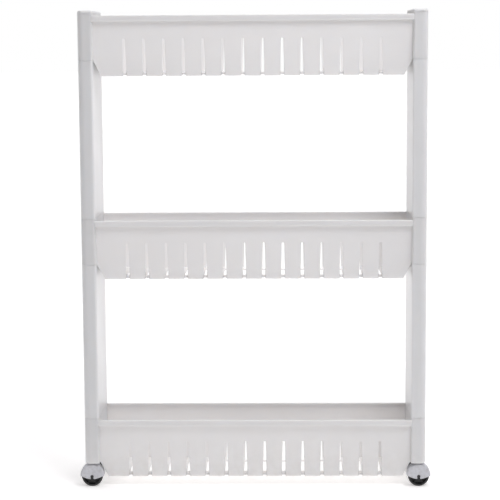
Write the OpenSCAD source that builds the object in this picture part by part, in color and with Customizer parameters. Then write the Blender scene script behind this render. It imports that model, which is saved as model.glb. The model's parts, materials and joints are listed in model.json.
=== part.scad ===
// Slim rolling pantry cart: three slotted trays carried by hollow end uprights on four small casters.
// Frame: origin on the floor at the centre of the cart, +X along the cart, -Y the front face, +Z up.

/* [Cart] */
// Overall height, floor to the top of the end caps
cart_h = 720; // [700:5:740]
// Distance from the middle of one end upright to the middle of the other
end_spacing = 495; // [460:5:520]
// Depth of the trays and end uprights, front to back
cart_d = 120; // [110:1:130]
// Height from one tray to the next
tray_pitch = 304.5; // [280:0.5:310]

/* [Tray] */
// Height of a tray from its rim down to its lowest edge
tray_h = 89.5; // [80:0.5:95]
// Thickness of the moulded tray walls
wall_t = 2.2; // [1.8:0.1:3]
// Height of the rolled rim lip
lip_h = 8.5; // [6:0.5:12]
// How far the tray wall stands in from the front face just below the rim
wall_in_top = 4.5; // [4:0.5:6]
// How far the tray wall stands in from the front face at its bottom
wall_in_bottom = 12; // [10:0.5:16]
// Number of slots along each long wall
slot_count = 14; // [10:1:15]
// Spacing of the slots
slot_pitch = 29.2; // [26:0.1:30]
// Distance from the rim down to the top of the slots
slot_drop = 34; // [28:1:40]
// Slot width at its top
slot_top_w = 3.2; // [2:0.1:4]
// Slot width at its bottom, and in the tray floor
slot_bottom_w = 5.2; // [4:0.1:6]

/* [End uprights] */
// Width of an end upright, along the cart
end_w = 22.5; // [20:0.5:26]
// Corner radius on the outer side of an end upright
outer_r = 9.5; // [6:0.5:10]
// Corner radius on the inner side of an end upright
inner_r = 3.5; // [2:0.5:5]
// Height of the end block that is moulded with each tray
block_h = 70; // [64:0.5:76]
// How far an end block stands above the tray rim
block_rise = 3.5; // [2:0.5:5]
// Height of the cap that closes the top of an upright
cap_h = 4; // [3:0.5:6]

/* [Casters] */
// Wheel diameter
wheel_d = 32; // [28:1:34]
// Wheel width
wheel_w = 13.6; // [10:0.2:15]
// Radius of the domed caster housing
hood_r = 18; // [17.5:0.5:20]
// How far the middle of the hood's dome is above the axle
hood_lift = 1.5; // [0:0.5:3]
// Width of the caster housing, front to back
hood_w = 19; // [18:0.5:21]
// Axle diameter
axle_d = 5; // [4:0.1:5.5]
// Number of spokes in a wheel
spoke_count = 6; // [3:1:8]
// How far the casters stand outside the middle of an end upright
caster_out = 1; // [0:0.5:2]
// Distance of the casters from the middle of the cart's depth
caster_y = 48; // [44:1:50]

/* [Hidden] */
$fn = 64;
// A short overlap that fuses solids of one moulding, and the reach of cutters past a face
fuse = 1;
// Gap between parts that plug into each other
fit_gap = 0.15;
// Gap all round an axle in the seat that it turns in
running_gap = 0.05;

end_x = end_spacing / 2;
inner_x = end_x - end_w / 2;
caster_x = end_x + caster_out;
half_d = cart_d / 2;
rim_top = [for (level = [0:2]) cart_h - cap_h - block_rise - (2 - level) * tray_pitch];
block_bottom = block_rise - block_h;
panel_h = tray_pitch - block_h;

// Tray details
lip_t = 2;
rib_drop = 2;
floor_top = rib_drop + wall_t - tray_h;
slot_taper_end = floor_top + 8;
corner_run = 12;
floor_strip = 16;
floor_bar_y = 29;
floor_bar_w = 2.6;
slot_reach = half_d - wall_in_bottom;

// End upright details
shell_t = 2.3;
divider_t = 2.5;
divider_z = block_bottom + 34;
tongue_h = 14;
tongue_t = 2;
tongue_half = 36;
stiffener_t = 1.6;
stiffener_y = 22;
cap_edge_r = 3.2;

// Caster details
axle_z = wheel_d / 2;
hood_t = 1.4;
cheek_t = 1.8;
hood_edge_r = 3;
hood_skirt_r = 30;
hood_skirt_drop = 4;
seat_neck = 0.88;
neck_d = 15;
stem_d = 8.8;
stem_h = 22;
socket_d = 12.6;
tread_r = 2.4;
hub_d = 11;
wheel_web_t = 4;
wheel_rim_t = 3.4;
hub_out = 0.3;
spoke_t = 1.4;
spoke_dip = 1.2;

// A bar along X whose cross-section is drawn in Y and Z
module along_x(length) {
    rotate([90, 0, 90]) linear_extrude(height = length, center = true) children();
}

// A bar along Y whose cross-section is drawn in X and Z
module along_y(length) {
    rotate([90, 0, 0]) linear_extrude(height = length, center = true) children();
}

// Shapes drawn for the right-hand end, turned to the left-hand end as well
module both_ends() {
    children();
    mirror([1, 0, 0]) children();
}

// Outline of the right-hand end upright, set in by inset on every side
module end_outline(inset) {
    big_r = outer_r - inset;
    small_r = max(inner_r - inset, 0.8);
    x_in = inner_x + inset;
    x_out = end_x + end_w / 2 - inset;
    y_max = half_d - inset;
    for (side = [-1, 1]) {
        translate([x_in + small_r, side * (y_max - small_r)]) circle(r = small_r);
        translate([x_out - big_r, side * (y_max - big_r)]) circle(r = big_r);
    }
    translate([x_in, -(y_max - big_r)]) square([x_out - x_in, 2 * (y_max - big_r)]);
    translate([x_in, -(y_max - small_r)]) square([2 * small_r, 2 * (y_max - small_r)]);
    translate([x_in + small_r, -y_max]) square([x_out - big_r - x_in - small_r, 2 * y_max]);
}

// Tapered trough section of a tray, front to back, set in by inset
module trough_section(inset, top_z, bottom_z) {
    lean = (wall_in_bottom - wall_in_top) / tray_h;
    top_y = half_d - wall_in_top - inset + lean * top_z;
    bottom_y = half_d - wall_in_top - inset + lean * bottom_z;
    polygon([[-top_y, top_z], [top_y, top_z], [bottom_y, bottom_z], [-bottom_y, bottom_z]]);
}

// Front outline of a tray between the end blocks, with its cut-off lower corners
module tray_outline(inset, top_z, bottom_z) {
    low_x = inner_x - corner_run - inset;
    corner_z = block_bottom + inset;
    side_x = inset > 0 ? inner_x : inner_x + fuse;
    polygon([[-side_x, top_z], [side_x, top_z], [side_x, corner_z], [inner_x, corner_z],
        [low_x, -tray_h], [low_x, bottom_z], [-low_x, bottom_z], [-low_x, -tray_h],
        [-inner_x, corner_z], [-side_x, corner_z]]);
}

// Middle of slot number i
function slot_x(i) = (i - (slot_count - 1) / 2) * slot_pitch;

// Long walls and sloping lower end walls, cut by the tapered slots
module tray_walls() {
    difference() {
        intersection() {
            along_x(2 * inner_x + 4 * fuse) trough_section(0, 0, -tray_h);
            along_y(cart_d) tray_outline(0, 0, -tray_h);
        }
        intersection() {
            along_x(2 * inner_x + 4 * fuse) trough_section(wall_t, fuse, -tray_h - fuse);
            along_y(cart_d) tray_outline(wall_t, fuse, -tray_h - fuse);
        }
        for (i = [0:slot_count - 1])
            translate([slot_x(i), 0, 0]) along_y(cart_d)
                polygon([[-slot_top_w / 2, -slot_drop], [slot_top_w / 2, -slot_drop],
                    [slot_bottom_w / 2, slot_taper_end], [slot_bottom_w / 2, -tray_h - fuse],
                    [-slot_bottom_w / 2, -tray_h - fuse], [-slot_bottom_w / 2, slot_taper_end]]);
    }
}

// Floor with cross slots, a lengthways bar across them and a solid strip along the front
module tray_floor() {
    slot_front = floor_strip - slot_reach;
    difference() {
        intersection() {
            along_x(2 * inner_x) trough_section(0.2, floor_top, floor_top - wall_t);
            along_y(cart_d) tray_outline(0.2, floor_top, floor_top - wall_t);
        }
        for (i = [0:slot_count - 1])
            translate([slot_x(i) - slot_bottom_w / 2, slot_front, floor_top - wall_t - fuse])
                cube([slot_bottom_w, slot_reach - slot_front + fuse, wall_t + 2 * fuse]);
    }
    translate([0, floor_bar_y, floor_top - wall_t / 2])
        cube([2 * slot_x(slot_count - 1) + slot_pitch, floor_bar_w, wall_t], center = true);
}

// Rolled rim: a flat shelf on top of the wall and a lip that hangs in front of it
module tray_rim() {
    shelf_in = half_d - wall_in_top - wall_t;
    for (side = [0, 1])
        mirror([0, side, 0]) along_x(2 * (inner_x + fuse))
            polygon([[shelf_in, 0], [shelf_in, -wall_t], [half_d - lip_t, -wall_t],
                [half_d - lip_t, -lip_h], [half_d, -lip_h], [half_d, 0]]);
}

// Hollow end block: a tube open at both ends, a divider, and two sockets for caster stems
module end_block() {
    difference() {
        translate([0, 0, block_bottom]) linear_extrude(height = block_h) end_outline(0);
        translate([0, 0, block_bottom - fuse])
            linear_extrude(height = divider_z - block_bottom + fuse) end_outline(shell_t);
        translate([0, 0, divider_z + divider_t]) linear_extrude(height = block_h) end_outline(shell_t);
    }
    for (side = [-1, 1])
        translate([caster_x, side * caster_y, block_bottom])
            difference() {
                cylinder(d = socket_d, h = divider_z - block_bottom + fuse);
                translate([0, 0, -fuse]) cylinder(d = stem_d + 2 * fit_gap, h = stem_h + 2 * fuse);
            }
}

// One tray with both its end blocks, placed by the height of its rim
module tray(level) {
    color("whitesmoke") translate([0, 0, rim_top[level]]) {
        tray_walls();
        tray_floor();
        tray_rim();
        both_ends() end_block();
    }
}

// Hollow tongue that plugs into an end block, rising from z = 0
module tongue(height) {
    half_x = end_w / 2 - shell_t - fit_gap;
    difference() {
        translate([end_x - half_x, -tongue_half, 0]) cube([2 * half_x, 2 * tongue_half, height]);
        translate([end_x - half_x + tongue_t, tongue_t - tongue_half, -fuse])
            cube([2 * (half_x - tongue_t), 2 * (tongue_half - tongue_t), height + 2 * fuse]);
    }
}

// Right-hand upright between two trays: a hollow shell, two stiffeners and a tongue at each end
module upright(level) {
    plate_t = 2;
    color("white") translate([0, 0, rim_top[level] + block_rise]) {
        difference() {
            linear_extrude(height = panel_h) end_outline(0);
            translate([0, 0, plate_t]) linear_extrude(height = panel_h - 2 * plate_t) end_outline(shell_t);
        }
        for (side = [-1, 1])
            translate([end_x, side * stiffener_y, panel_h / 2])
                cube([end_w - 2 * shell_t + fuse, stiffener_t, panel_h - 2 * plate_t + fuse], center = true);
        translate([0, 0, -tongue_h]) tongue(tongue_h + fuse);
        translate([0, 0, panel_h - fuse]) tongue(tongue_h + fuse);
    }
}

// Rounded top edge of a cap, as a cross-section through the middle of its length or width
module cap_section(width) {
    square([width, cap_h - cap_edge_r]);
    translate([cap_edge_r, 0]) square([width - 2 * cap_edge_r, cap_h]);
    for (x = [cap_edge_r, width - cap_edge_r])
        translate([x, cap_h - cap_edge_r]) circle(r = cap_edge_r);
}

// Cap on top of the right-hand upright, rounded along all its top edges, with a tongue below
module end_cap() {
    color("white") translate([0, 0, cart_h - cap_h]) {
        intersection() {
            linear_extrude(height = cap_h) end_outline(0);
            translate([inner_x, 0, 0]) along_y(cart_d) cap_section(end_w);
            translate([end_x, -half_d, 0]) along_x(end_w) cap_section(cart_d);
        }
        translate([0, 0, -tongue_h]) tongue(tongue_h + fuse / 2);
    }
}

// Domed housing profile: half section of a disc with a rounded edge, turned about Z
module disc_section(radius, width, edge_r) {
    square([radius - edge_r, width], center = false);
    translate([0, edge_r]) square([radius, width - 2 * edge_r]);
    for (y = [edge_r, width - edge_r])
        translate([radius - edge_r, y]) circle(r = edge_r);
}

// A disc lying along Y, centred on the axle
module disc_along_y(radius, width, edge_r) {
    rotate([90, 0, 0]) translate([0, 0, -width / 2])
        rotate_extrude() intersection() {
            disc_section(radius, width, edge_r);
            square([2 * radius, width]);
        }
}

// Caster housing at the front right: hood, two cheeks with snap-in axle seats, neck and stem
module caster_housing() {
    seat_r = axle_d / 2 + running_gap;
    neck_w = 2 * seat_r * seat_neck;
    block_z = rim_top[0] + block_bottom;
    color("lightsteelblue") translate([caster_x, -caster_y, 0]) {
        difference() {
            union() {
                translate([0, 0, axle_z + hood_lift]) disc_along_y(hood_r, hood_w, hood_edge_r);
                translate([0, 0, axle_z]) cylinder(d = neck_d, h = block_z - axle_z);
                translate([0, 0, axle_z]) cylinder(d = stem_d, h = block_z - axle_z + stem_h);
            }
            translate([0, 0, axle_z + hood_lift]) rotate([90, 0, 0])
                cylinder(r = hood_r - hood_t, h = hood_w - 2 * cheek_t, center = true);
            difference() {
                translate([-2 * hood_r, -hood_w, axle_z - 2 * hood_r])
                    cube([4 * hood_r, 2 * hood_w, 2 * hood_r]);
                translate([0, 0, axle_z - hood_skirt_drop + hood_skirt_r]) rotate([90, 0, 0])
                    cylinder(r = hood_skirt_r, h = 3 * hood_w, center = true, $fn = 128);
            }
            translate([0, 0, axle_z]) rotate([90, 0, 0]) cylinder(r = seat_r, h = 2 * hood_w, center = true);
            translate([-neck_w / 2, -hood_w, 0]) cube([neck_w, 2 * hood_w, axle_z]);
        }
    }
}

// Axle pin of the front right caster, as long as the housing is wide
module axle() {
    color("dimgray") translate([caster_x, -caster_y, axle_z]) rotate([90, 0, 0])
        cylinder(d = axle_d, h = hood_w - 0.6, center = true);
}

// Half section of the wheel: rounded tread, thin web and hub, drawn from the axle outwards
module wheel_section() {
    wheel_r = wheel_d / 2;
    half_w = wheel_w / 2;
    for (side = [-1, 1])
        intersection() {
            translate([wheel_r - tread_r, side * (half_w - tread_r)]) circle(r = tread_r);
            translate([wheel_r - tread_r, -half_w]) square([tread_r, wheel_w]);
        }
    translate([wheel_r - wheel_rim_t, tread_r - half_w]) square([wheel_rim_t, wheel_w - 2 * tread_r]);
    translate([wheel_r - wheel_rim_t, -half_w]) square([wheel_rim_t - tread_r, wheel_w]);
    translate([axle_d / 2, -wheel_web_t / 2])
        square([wheel_r - wheel_rim_t - axle_d / 2 + fuse, wheel_web_t]);
    translate([axle_d / 2, -half_w - hub_out]) square([(hub_d - axle_d) / 2, wheel_w + 2 * hub_out]);
}

// Wheel of the front right caster, with spokes that stiffen its web
module wheel() {
    spoke_in = hub_d / 2 - fuse;
    color("black") translate([caster_x, -caster_y, axle_z]) rotate([90, 0, 0]) {
        rotate_extrude() wheel_section();
        for (i = [0:spoke_count - 1])
            rotate([0, 0, 360 * i / spoke_count]) translate([spoke_in, -spoke_t / 2, spoke_dip - wheel_w / 2])
                cube([wheel_d / 2 - wheel_rim_t - spoke_in + fuse, spoke_t, wheel_w - 2 * spoke_dip]);
    }
}

// Turns a front right part to the left end (x_side = -1) or the back (y_side = -1)
module corner(x_side, y_side) {
    mirror([x_side < 0 ? 1 : 0, 0, 0]) mirror([0, y_side < 0 ? 1 : 0, 0]) children();
}

tray(0);  // bottom_tray
tray(1);  // middle_tray
tray(2);  // top_tray
corner(-1, 1) upright(0);  // lower_left_upright
corner(1, 1) upright(0);  // lower_right_upright
corner(-1, 1) upright(1);  // upper_left_upright
corner(1, 1) upright(1);  // upper_right_upright
corner(-1, 1) end_cap();  // left_end_cap
corner(1, 1) end_cap();  // right_end_cap
corner(-1, 1) caster_housing();  // front_left_caster_housing
corner(1, 1) caster_housing();  // front_right_caster_housing
corner(-1, -1) caster_housing();  // back_left_caster_housing
corner(1, -1) caster_housing();  // back_right_caster_housing
corner(-1, 1) axle();  // front_left_axle
corner(1, 1) axle();  // front_right_axle
corner(-1, -1) axle();  // back_left_axle
corner(1, -1) axle();  // back_right_axle
corner(-1, 1) wheel();  // front_left_wheel
corner(1, 1) wheel();  // front_right_wheel
corner(-1, -1) wheel();  // back_left_wheel
corner(1, -1) wheel();  // back_right_wheel
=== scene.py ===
"""Looks of the slim rolling pantry cart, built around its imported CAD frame. All lengths are in metres."""

import json
import math

import bmesh
import bpy
from mathutils import Matrix, Vector


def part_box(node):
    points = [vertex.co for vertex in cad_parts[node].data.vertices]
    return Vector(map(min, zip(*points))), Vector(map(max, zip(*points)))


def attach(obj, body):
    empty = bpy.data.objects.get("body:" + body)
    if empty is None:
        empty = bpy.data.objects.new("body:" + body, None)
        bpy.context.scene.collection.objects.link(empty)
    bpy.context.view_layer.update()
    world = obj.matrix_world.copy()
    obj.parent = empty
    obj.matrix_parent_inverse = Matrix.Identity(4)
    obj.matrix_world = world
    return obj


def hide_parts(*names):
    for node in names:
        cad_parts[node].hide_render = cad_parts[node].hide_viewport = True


WELD = 2e-6  # closest that two separate corners of a CAD mesh lie
SHARP = math.radians(30)  # an edge that turns by more than this is rounded
FLAT = math.radians(1)  # facets that meet at less than this are one face

TRAYS = ("bottom_tray", "middle_tray", "top_tray")
UPRIGHTS = ("lower_left_upright", "lower_right_upright", "upper_left_upright", "upper_right_upright")
CAPS = ("left_end_cap", "right_end_cap")
CORNERS = ("front_left", "front_right", "back_left", "back_right")

# Radius that the mould gives to the sharp edges of each kind of part
TRAY_EDGE = 0.0005
UPRIGHT_EDGE = 0.0007
CAP_EDGE = 0.0004
HOUSING_EDGE = 0.0003
WHEEL_EDGE = 0.0003
AXLE_EDGE = 0.0004

# Flat faces of a tray are cut between its slots and along its floor bar, so these are as in the CAD
SLOT_PITCH = 0.0292
SLOT_COUNT = 14
BAR_Y = 0.029

# Numbers of the sockets that share their names with others on the same node
MAP_RANGE_LIMITS = (1, 2, 3, 4)  # start and end of the old range, start and end of the new one
MIX_SHARE, MIX_FIRST, MIX_SECOND = 0, 6, 7
MIX_COLOUR = 2

# The photograph's viewpoint
CAMERA_PLACE = (0.0434, -2.3999, 0.6782)
CAMERA_TURN = math.radians(1.19)  # to the left
CAMERA_TIP = math.radians(6.74)  # down
CAMERA_ROLL = math.radians(-0.36)
CAMERA_LENS = 113.83  # in millimetres
CAMERA_SHIFT = -0.05

FLOOR_REACH = 30.0
GLOW_ENDS = (-1.2, 1.2)  # the floor's glow grows from the front to the back between these depths
GLOW = (0.20, 0.66)
KEY_PLACE = (0.65, -1.0, 2.0)
KEY_TARGET = (0, 0, 0.4)
KEY_SIZE = 0.8
KEY_POWER = 17


def body_of(record, node):
    """The body that a CAD node belongs to."""
    return next(body for body, nodes in record["behaviour"]["bodies"].items() if node in nodes)


def cut(shape, axis, place):
    """Cuts every face where it crosses the plane at place along axis."""
    normal = Vector((axis == 0, axis == 1, axis == 2))
    everything = shape.verts[:] + shape.edges[:] + shape.faces[:]
    bmesh.ops.bisect_plane(shape, geom=everything, dist=WELD / 2, plane_co=normal * place, plane_no=normal)


def merge_flat_faces(shape, cuts):
    """Joins the flat facets of a CAD mesh into few faces, which the cuts keep free of holes."""
    for axis, place in cuts:
        cut(shape, axis, place)
    kept = set()
    for axis, place in cuts:
        kept.update(e for e in shape.edges if all(abs(v.co[axis] - place) < WELD for v in e.verts))
    loose = [edge for edge in shape.edges if edge not in kept]
    bmesh.ops.dissolve_limit(shape, angle_limit=FLAT, verts=shape.verts, edges=loose)


def tray_cuts(socket):
    """Cuts between the slots of a tray, along its middle and its floor bar, and through its sockets."""
    between_slots = [(0, (i - SLOT_COUNT / 2) * SLOT_PITCH) for i in range(SLOT_COUNT + 1)]
    through_sockets = [(0, -socket.x), (0, socket.x), (1, -socket.y), (1, socket.y)]
    return between_slots + through_sockets + [(1, 0.0), (1, BAR_Y)]


def middle(node):
    """The middle of a node's box."""
    low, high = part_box(node)
    return (low + high) / 2


def middle_cuts(node):
    """Cuts through the middle of a part, along all three axes."""
    return list(enumerate(middle(node)))


def moulded(frame, node, edge, material, cuts, origin=Vector((0, 0, 0))):
    """A stand-in for a CAD part: the same shape, with its sharp edges rounded to the radius edge."""
    shape = bmesh.new()
    shape.from_mesh(frame["nodes"][node].data)
    bmesh.ops.remove_doubles(shape, verts=shape.verts, dist=WELD)
    merge_flat_faces(shape, cuts)
    shape.transform(Matrix.Translation(-origin))
    for face in shape.faces:
        face.smooth = True
    mesh = bpy.data.meshes.new(f"{node}_moulding")
    shape.to_mesh(mesh)
    shape.free()
    mesh.materials.append(material)

    piece = bpy.data.objects.new(f"{node}_moulding", mesh)
    bpy.context.scene.collection.objects.link(piece)
    piece.location = origin
    rounding = piece.modifiers.new("Edges", "BEVEL")
    rounding.width = edge
    rounding.segments = 3
    rounding.limit_method = "ANGLE"
    rounding.angle_limit = SHARP
    rounding.use_clamp_overlap = False
    rounding.miter_outer = "MITER_ARC"
    shading = piece.modifiers.new("Shading", "WEIGHTED_NORMAL")
    shading.keep_sharp = True
    shading.weight = 100

    record = frame["record"]
    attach(piece, body_of(record, node))
    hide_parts(node)


# Materials


def rgba(red, green, blue):
    """An opaque colour."""
    return (red, green, blue, 1.0)


class Nodes:
    """The node tree of a material or world, with a short way to add a node and link its inputs."""

    def __init__(self, owner):
        owner.use_nodes = True
        self.owner = owner
        self.tree = owner.node_tree

    def add(self, kind, inputs=None, **settings):
        """A new node. inputs gives, by name or number, a value or another node's output."""
        node = self.tree.nodes.new(f"ShaderNode{kind}")
        for key, value in settings.items():
            setattr(node, key, value)
        for key, value in (inputs or {}).items():
            self.set(node, key, value)
        return node

    def set(self, node, key, value):
        """Sets one input of a node, or links an output to it."""
        if isinstance(value, bpy.types.NodeSocket):
            self.tree.links.new(value, node.inputs[key])
        else:
            node.inputs[key].default_value = value

    def place(self, scale=(1, 1, 1)):
        """The piece's own coordinates in metres, stretched by scale."""
        source = self.add("TexCoord").outputs["Object"]
        return self.add("Mapping", {"Vector": source, "Scale": scale}).outputs["Vector"]

    def noise(self, scale, detail=2.0, stretch=(1, 1, 1), distortion=0.0):
        """Noise from 0 to 1, with scale in cells per metre."""
        values = {"Vector": self.place(stretch), "Scale": scale, "Detail": detail, "Distortion": distortion}
        return self.add("TexNoise", values).outputs["Fac"]

    def remap(self, value, old, new, path="LINEAR"):
        """value taken from the range old to the range new, and kept inside it."""
        values = {"Value": value, **dict(zip(MAP_RANGE_LIMITS, (*old, *new)))}
        return self.add("MapRange", values, interpolation_type=path).outputs["Result"]

    def add_up(self, first, second):
        return self.add("Math", {0: first, 1: second}, operation="ADD").outputs[0]

    def multiply(self, first, second):
        return self.add("Math", {0: first, 1: second}, operation="MULTIPLY").outputs[0]

    def inverse(self, value):
        """1 where value is 0, and 0 where it is 1."""
        return self.add("Math", {0: 1.0, 1: value}, operation="SUBTRACT").outputs[0]

    def mix(self, share, first, second):
        """A colour between first and second."""
        node = self.add("Mix", data_type="RGBA")
        for key, value in ((MIX_SHARE, share), (MIX_FIRST, first), (MIX_SECOND, second)):
            self.set(node, key, value)
        return node.outputs[MIX_COLOUR]

    def bump(self, height, distance, strength, under=None):
        """A normal that follows height, which stands for distance in metres, laid over another bump."""
        values = {"Height": height, "Distance": distance, "Strength": strength}
        if under is not None:
            values["Normal"] = under
        return self.add("Bump", values).outputs["Normal"]

    def facing_up(self):
        """1 where the surface is a level top side, and 0 where it stands upright."""
        normal = self.add("NewGeometry").outputs["Normal"]
        return self.remap(self.add("SeparateXYZ", {0: normal}).outputs["Z"], (0.75, 0.98), (0, 1))

    def along(self, axis):
        """How far along its own axis a point of the piece lies."""
        return self.add("SeparateXYZ", {0: self.place()}).outputs[axis]

    def below(self, top, bottom):
        """1 under the height bottom, and 0 above the height top, both in the piece's own coordinates."""
        return self.remap(self.along("Z"), (bottom, top), (1, 0))

    def surface(self, values):
        """Gives the material's shader its inputs, and returns the material."""
        for key, value in values.items():
            self.set(self.tree.nodes["Principled BSDF"], key, value)
        return self.owner


def white_plastic(name, light, dark, streak):
    """White moulded polypropylene: cloudy, with flow marks, a satin skin, fine grain and use marks.

    streak stretches the flow marks: the smaller it is along an axis, the longer they run that way.
    """
    nodes = Nodes(bpy.data.materials.new(name))
    cloud = nodes.remap(nodes.noise(11, 3), (0.3, 0.7), (0, 1))
    flow = nodes.remap(nodes.noise(1, 4, streak, 0.6), (0.35, 0.7), (0, 1))
    colour = nodes.mix(cloud, light, dark)
    flow_mark = rgba(*(0.965 * part for part in dark[:3]))
    colour = nodes.mix(nodes.multiply(flow, 0.35), colour, flow_mark)

    level = nodes.facing_up()
    scratch = nodes.remap(nodes.noise(1, 3, (40, 1500, 1500), 0.4), (0.6, 0.7), (0, 1))
    patch = nodes.remap(nodes.noise(30, 2), (0.45, 0.65), (0, 1))
    wear = nodes.multiply(nodes.multiply(scratch, patch), level)
    colour = nodes.mix(nodes.multiply(wear, 0.25), colour, rgba(0.60, 0.59, 0.57))
    dust_patch = nodes.remap(nodes.noise(90, 5), (0.4, 0.75), (0, 1))
    dust = nodes.multiply(nodes.below(0.075, 0.012), dust_patch)
    colour = nodes.mix(nodes.multiply(dust, 0.14), colour, rgba(0.50, 0.46, 0.40))

    rough = nodes.remap(nodes.noise(45, 4), (0.3, 0.7), (0.30, 0.40))
    rough = nodes.add_up(rough, nodes.multiply(wear, 0.22))
    rough = nodes.add_up(rough, nodes.multiply(dust, 0.18))
    sag = nodes.bump(nodes.noise(24, 1), 0.0012, 0.35)
    flow_bump = nodes.bump(nodes.noise(1, 2, streak), 0.0003, 0.3, sag)
    grain = nodes.bump(nodes.noise(1700, 3), 0.00004, 0.35, flow_bump)
    scored = nodes.bump(nodes.inverse(wear), 0.00003, 0.5, grain)
    return nodes.surface(
        {
            "Base Color": colour,
            "Roughness": rough,
            "Normal": scored,
            "IOR": 1.49,
            "Subsurface Weight": 0.8,
            "Subsurface Radius": (0.0056, 0.0053, 0.0050),
            "Subsurface Scale": 1.0,
        }
    )


def caster_plastic():
    """Light blue-grey moulded plastic of the caster housings: a finer, duller skin that holds dust.

    Heights are measured from the axle, where a housing has its origin.
    """
    nodes = Nodes(bpy.data.materials.new("caster_plastic"))
    cloud = nodes.remap(nodes.noise(70, 4), (0.3, 0.7), (0, 1))
    colour = nodes.mix(cloud, rgba(0.73, 0.735, 0.775), rgba(0.66, 0.665, 0.71))
    dust_patch = nodes.remap(nodes.noise(260, 5), (0.45, 0.7), (0, 1))
    dust = nodes.multiply(nodes.below(0.034, 0.012), dust_patch)
    colour = nodes.mix(nodes.multiply(dust, 0.3), colour, rgba(0.42, 0.40, 0.37))
    rough = nodes.remap(nodes.noise(120, 4), (0.3, 0.7), (0.38, 0.5))
    rough = nodes.add_up(rough, nodes.multiply(dust, 0.2))
    sag = nodes.bump(nodes.noise(90, 1), 0.0003, 0.3)
    grain = nodes.bump(nodes.noise(2600, 3), 0.00005, 0.5, sag)
    return nodes.surface(
        {
            "Base Color": colour,
            "Roughness": rough,
            "Normal": grain,
            "IOR": 1.5,
            "Subsurface Weight": 0.05,
            "Subsurface Radius": (0.002, 0.002, 0.0022),
            "Subsurface Scale": 1.0,
        }
    )


def wheel_plastic(wheel_radius):
    """Black plastic of the wheels: glossier sides, and a tread that the floor has scuffed dull."""
    nodes = Nodes(bpy.data.materials.new("wheel_plastic"))
    around_axle = nodes.place((1, 0, 1))
    from_axle = nodes.add("VectorMath", {0: around_axle}, operation="LENGTH").outputs["Value"]
    tread = nodes.remap(from_axle, (wheel_radius - 0.0016, wheel_radius - 0.0003), (0, 1))
    speckle = nodes.remap(nodes.noise(420, 5), (0.45, 0.66), (0, 1))
    scuff = nodes.multiply(tread, speckle)
    dust = nodes.remap(nodes.noise(150, 4), (0.5, 0.8), (0, 0.3))
    colour = nodes.mix(dust, rgba(0.018, 0.018, 0.020), rgba(0.060, 0.058, 0.056))
    colour = nodes.mix(nodes.multiply(scuff, 0.5), colour, rgba(0.13, 0.125, 0.12))
    rough = nodes.remap(nodes.noise(200, 4), (0.3, 0.7), (0.34, 0.48))
    rough = nodes.add_up(rough, nodes.multiply(tread, 0.14))
    rough = nodes.add_up(rough, nodes.multiply(scuff, 0.15))
    from_parting = nodes.add("Math", {0: nodes.along("Y")}, operation="ABSOLUTE").outputs[0]
    seam = nodes.bump(nodes.remap(from_parting, (0.00008, 0.0002), (1, 0)), 0.0001, 0.8)
    scuffed = nodes.bump(nodes.inverse(scuff), 0.00006, 0.5, seam)
    grain = nodes.bump(nodes.noise(3000, 2), 0.00003, 0.4, scuffed)
    return nodes.surface({"Base Color": colour, "Roughness": rough, "Normal": grain, "IOR": 1.5})


def axle_plastic():
    """Black plastic of the axle pins, burnished by the seats that they turn in."""
    nodes = Nodes(bpy.data.materials.new("axle_plastic"))
    cloud = nodes.remap(nodes.noise(300, 4), (0.35, 0.7), (0, 1))
    colour = nodes.mix(cloud, rgba(0.020, 0.020, 0.022), rgba(0.045, 0.045, 0.047))
    ring = nodes.noise(1, 3, (300, 4000, 300))
    rough = nodes.remap(ring, (0.3, 0.7), (0.28, 0.44))
    grooves = nodes.bump(ring, 0.00003, 0.4)
    return nodes.surface({"Base Color": colour, "Roughness": rough, "Normal": grooves, "IOR": 1.5})


def floor_paper():
    """White studio paper that glows a little, so that it stays as pale as the background."""
    nodes = Nodes(bpy.data.materials.new("floor_paper"))
    fibre = nodes.remap(nodes.noise(180, 5), (0.3, 0.7), (0, 1))
    return nodes.surface(
        {
            "Base Color": nodes.mix(fibre, rgba(0.86, 0.86, 0.86), rgba(0.88, 0.88, 0.88)),
            "Roughness": 0.9,
            "Normal": nodes.bump(fibre, 0.0001, 0.1),
            "Specular IOR Level": 0.0,
            "Emission Color": rgba(1.0, 0.98, 0.965),
            "Emission Strength": nodes.remap(nodes.along("Y"), GLOW_ENDS, GLOW),
        }
    )


# Studio


def add_floor():
    """A wide plain floor under the wheels."""
    shape = bmesh.new()
    bmesh.ops.create_grid(shape, x_segments=8, y_segments=8, size=FLOOR_REACH)
    mesh = bpy.data.meshes.new("floor")
    shape.to_mesh(mesh)
    shape.free()
    mesh.materials.append(floor_paper())
    floor = bpy.data.objects.new("floor", mesh)
    bpy.context.scene.collection.objects.link(floor)


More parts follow.
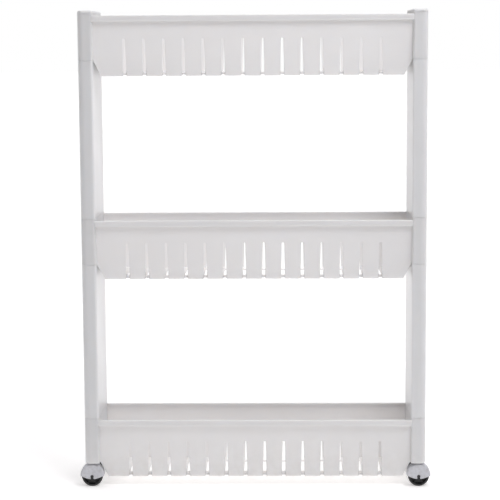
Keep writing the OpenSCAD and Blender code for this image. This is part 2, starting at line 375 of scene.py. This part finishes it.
def add_world(left, right, front, back, top):
    """White studio walls: seen as plain white, while each side casts its own strength of light."""
    world = bpy.data.worlds.new("studio")
    bpy.context.scene.world = world
    nodes = Nodes(world)
    direction = nodes.add("SeparateXYZ", {0: nodes.add("TexCoord").outputs["Generated"]}).outputs
    depth = nodes.remap(direction["Y"], (-0.6, 0.8), (front, back), "SMOOTHSTEP")
    width = nodes.remap(direction["X"], (-0.8, 0.8), (left, right), "SMOOTHSTEP")
    height = nodes.remap(direction["Z"], (0.35, 0.95), (0.0, top), "SMOOTHSTEP")
    upward = nodes.remap(direction["Z"], (0.0, 0.5), (0.0, 1.0), "SMOOTHSTEP")
    cast = nodes.tree.nodes["Background"]
    nodes.set(cast, "Color", nodes.mix(upward, rgba(1.0, 0.982, 0.972), rgba(0.98, 0.975, 1.0)))
    nodes.set(cast, "Strength", nodes.add_up(nodes.multiply(depth, width), height))
    seen = nodes.add("Background", {"Color": rgba(1, 1, 1)})
    is_seen = nodes.add("LightPath").outputs["Is Camera Ray"]
    choice = nodes.add("MixShader", {0: is_seen, 1: cast.outputs[0], 2: seen.outputs[0]})
    nodes.set(nodes.tree.nodes["World Output"], 0, choice.outputs[0])


def add_softbox(name, place, target, size, power, colour):
    """A square area light at place that faces target."""
    light = bpy.data.lights.new(name, "AREA")
    light.size = size
    light.energy = power
    light.color = colour
    lamp = bpy.data.objects.new(name, light)
    lamp.location = place
    lamp.rotation_euler = (Vector(target) - Vector(place)).to_track_quat("-Z", "Y").to_euler()
    bpy.context.scene.collection.objects.link(lamp)


def add_camera():
    """The photograph's view: level with the top tray, a little to the right, and tipped down."""
    turn = Matrix.Rotation(CAMERA_TURN, 4, "Z")
    tip = Matrix.Rotation(math.radians(90) - CAMERA_TIP, 4, "X")
    roll = Matrix.Rotation(CAMERA_ROLL, 4, "Z")
    data = bpy.data.cameras.new("camera")
    data.lens = CAMERA_LENS
    data.shift_y = CAMERA_SHIFT
    camera = bpy.data.objects.new("camera", data)
    camera.matrix_world = Matrix.Translation(CAMERA_PLACE) @ turn @ tip @ roll
    bpy.context.scene.collection.objects.link(camera)
    bpy.context.scene.camera = camera


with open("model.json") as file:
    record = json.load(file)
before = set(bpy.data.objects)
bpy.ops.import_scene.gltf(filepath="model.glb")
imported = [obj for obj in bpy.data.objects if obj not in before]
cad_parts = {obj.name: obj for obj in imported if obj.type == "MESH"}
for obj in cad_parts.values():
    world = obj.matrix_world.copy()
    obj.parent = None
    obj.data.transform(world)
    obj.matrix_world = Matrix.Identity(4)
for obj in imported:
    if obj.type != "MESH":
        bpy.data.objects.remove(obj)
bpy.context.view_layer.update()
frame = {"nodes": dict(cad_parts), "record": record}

tray_white = white_plastic(
    "tray_plastic", light=rgba(0.885, 0.872, 0.868), dark=rgba(0.860, 0.847, 0.843), streak=(6, 60, 18)
)
upright_white = white_plastic(
    "upright_plastic", light=rgba(0.935, 0.923, 0.922), dark=rgba(0.915, 0.903, 0.902), streak=(90, 30, 5)
)
wheel_low, wheel_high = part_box("front_left_wheel")
wheel_black = wheel_plastic((wheel_high.z - wheel_low.z) / 2)
housing_grey = caster_plastic()
axle_black = axle_plastic()

for tray in TRAYS:
    moulded(frame, tray, TRAY_EDGE, tray_white, tray_cuts(middle("back_right_caster_housing")))
for upright in UPRIGHTS:
    moulded(frame, upright, UPRIGHT_EDGE, upright_white, middle_cuts(upright))
for cap in CAPS:
    moulded(frame, cap, CAP_EDGE, upright_white, middle_cuts(cap))
for corner in CORNERS:
    axle_middle = middle(f"{corner}_wheel")
    for part, edge, material in (
        ("caster_housing", HOUSING_EDGE, housing_grey),
        ("wheel", WHEEL_EDGE, wheel_black),
        ("axle", AXLE_EDGE, axle_black),
    ):
        moulded(frame, f"{corner}_{part}", edge, material, list(enumerate(axle_middle)), axle_middle)

add_floor()
add_world(left=0.85, right=1.15, front=0.02, back=0.72, top=0.46)
add_softbox("key", KEY_PLACE, KEY_TARGET, KEY_SIZE, KEY_POWER, colour=(0.99, 0.98, 1.0))
add_camera()
bpy.context.scene.view_settings.view_transform = "Standard"
